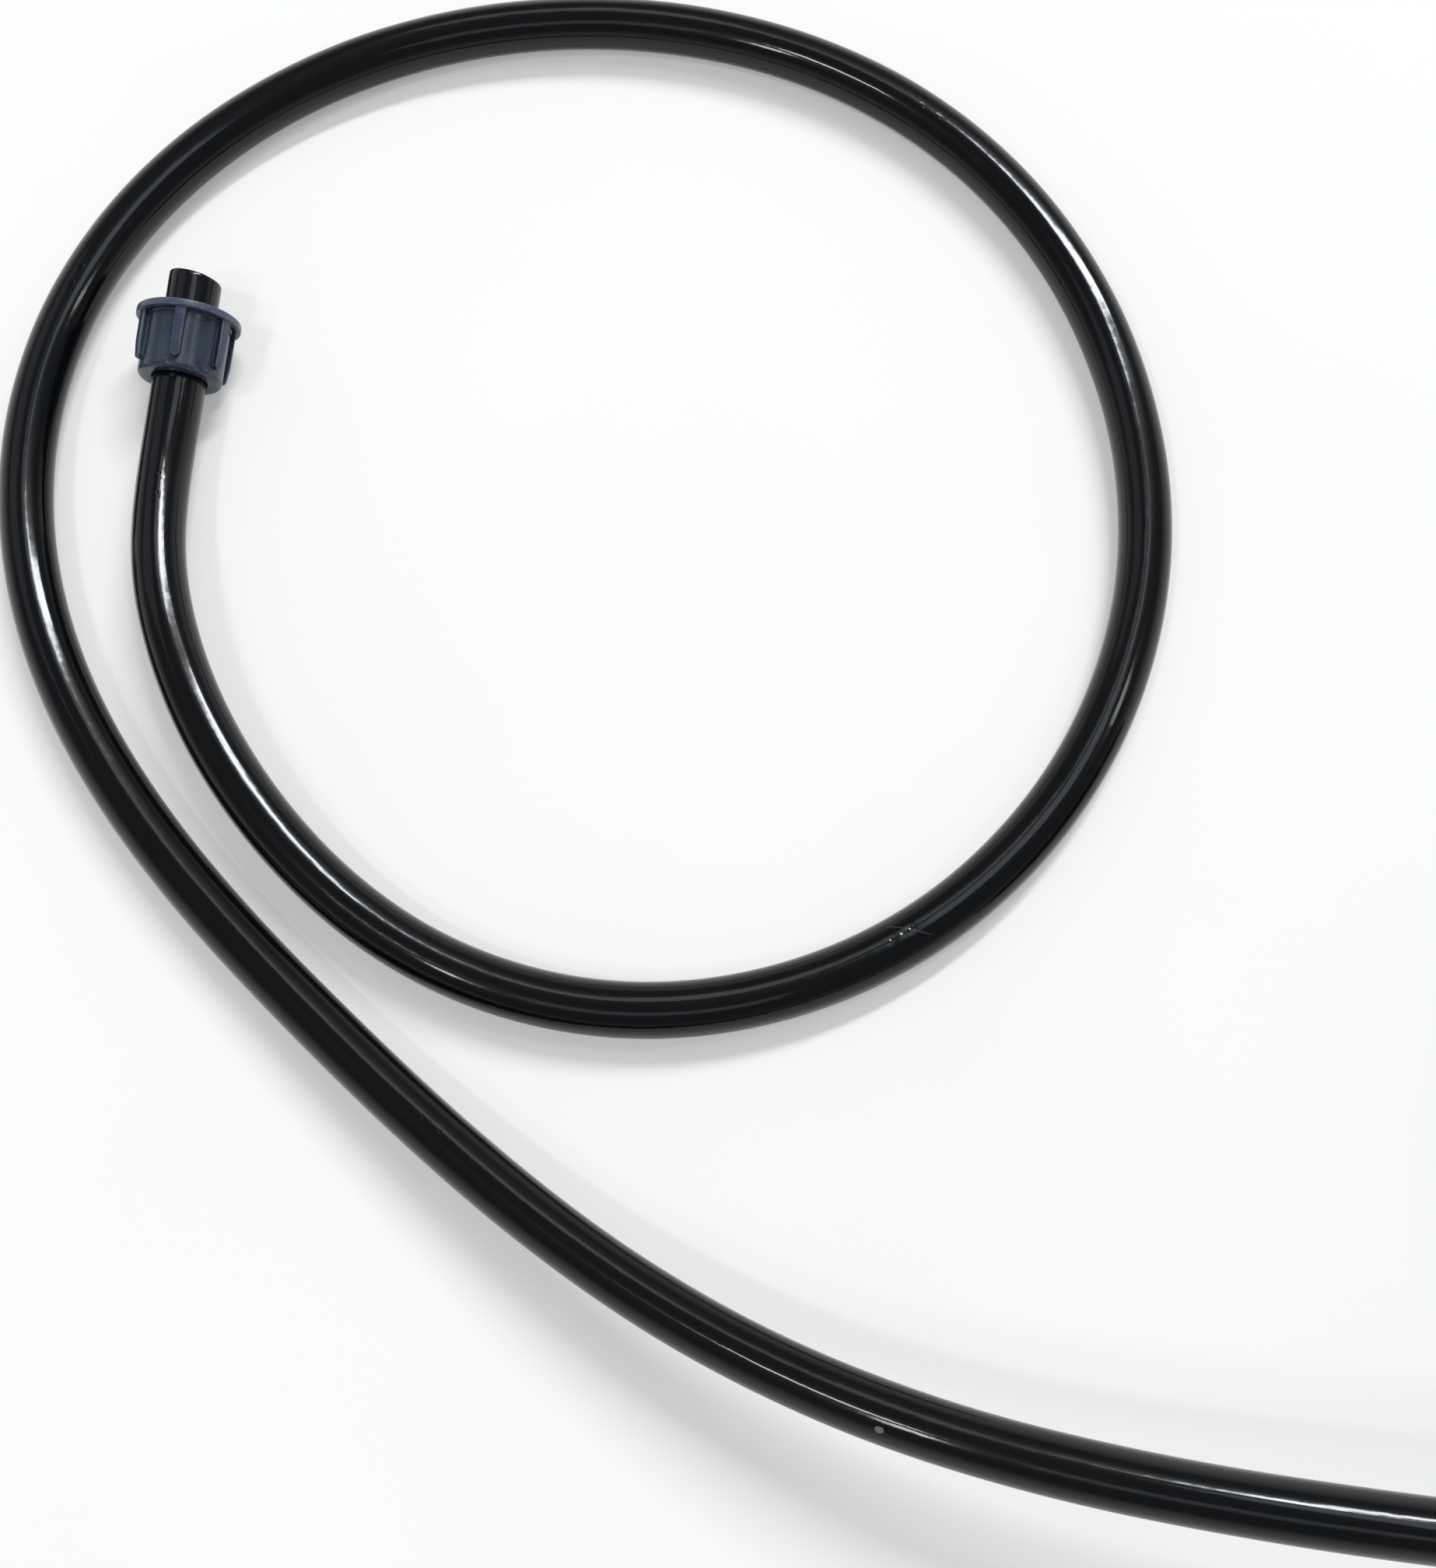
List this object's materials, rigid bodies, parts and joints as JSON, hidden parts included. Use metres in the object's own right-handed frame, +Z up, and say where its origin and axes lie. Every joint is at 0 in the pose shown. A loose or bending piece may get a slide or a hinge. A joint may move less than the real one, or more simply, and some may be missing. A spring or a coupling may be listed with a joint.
{
  "type": "soaker hose",
  "caption": "Black soaker hose lying in a wide loop, with a loose ribbed compression nut on its open end, the far end plugged, and the spare length wound in a tied coil.",
  "frame": {"origin": "on the floor, under the middle of the hose's straight near end with its nut", "axes": "+Z up from the floor the hose lies on, +Y the way the near end points, along which it rises 6 degrees, +X across it towards the wide loop and the coil"},
  "size_m": [0.7072, 0.4585, 0.0693],
  "materials": {
    "hose": "smooth black polyethylene, gloss",
    "nut": "slate blue-grey moulded polypropylene, satin",
    "plug": "slate blue-grey moulded polypropylene, satin",
    "grip_ring": "off-white acetal, satin",
    "bush": "black moulded polypropylene, satin",
    "seal": "black nitrile rubber, matt",
    "tie": "grey nylon, satin"
  },
  "bodies": {
    "hose": {"hose_end": "hose", "hose_run": "hose", "hose_coil": "hose", "hose_tail": "hose", "hose_far_end": "hose", "end_plug": "plug", "end_nut": "nut", "end_grip_ring": "grip_ring", "end_bush": "bush", "end_seal_ring": "seal", "coil_tie_1": "tie", "coil_tie_2": "tie", "coil_tie_3": "tie"},
    "gland": {"grip_ring": "grip_ring", "pressure_bush": "bush", "seal_ring": "seal"},
    "nut": {"coupling_nut": "nut"}
  },
  "joints": [
    {"name": "nut_slide", "type": "slide", "parent": "hose", "child": "gland", "axis": [0, 0.9945, 0.1045], "range_m": [0, 0.03]},
    {"name": "nut_turn", "type": "hinge", "parent": "gland", "child": "nut", "pos_m": [0, 0.00181, 0.01501], "axis": [0, 0.9945, 0.1045], "continuous": true}
  ]
}
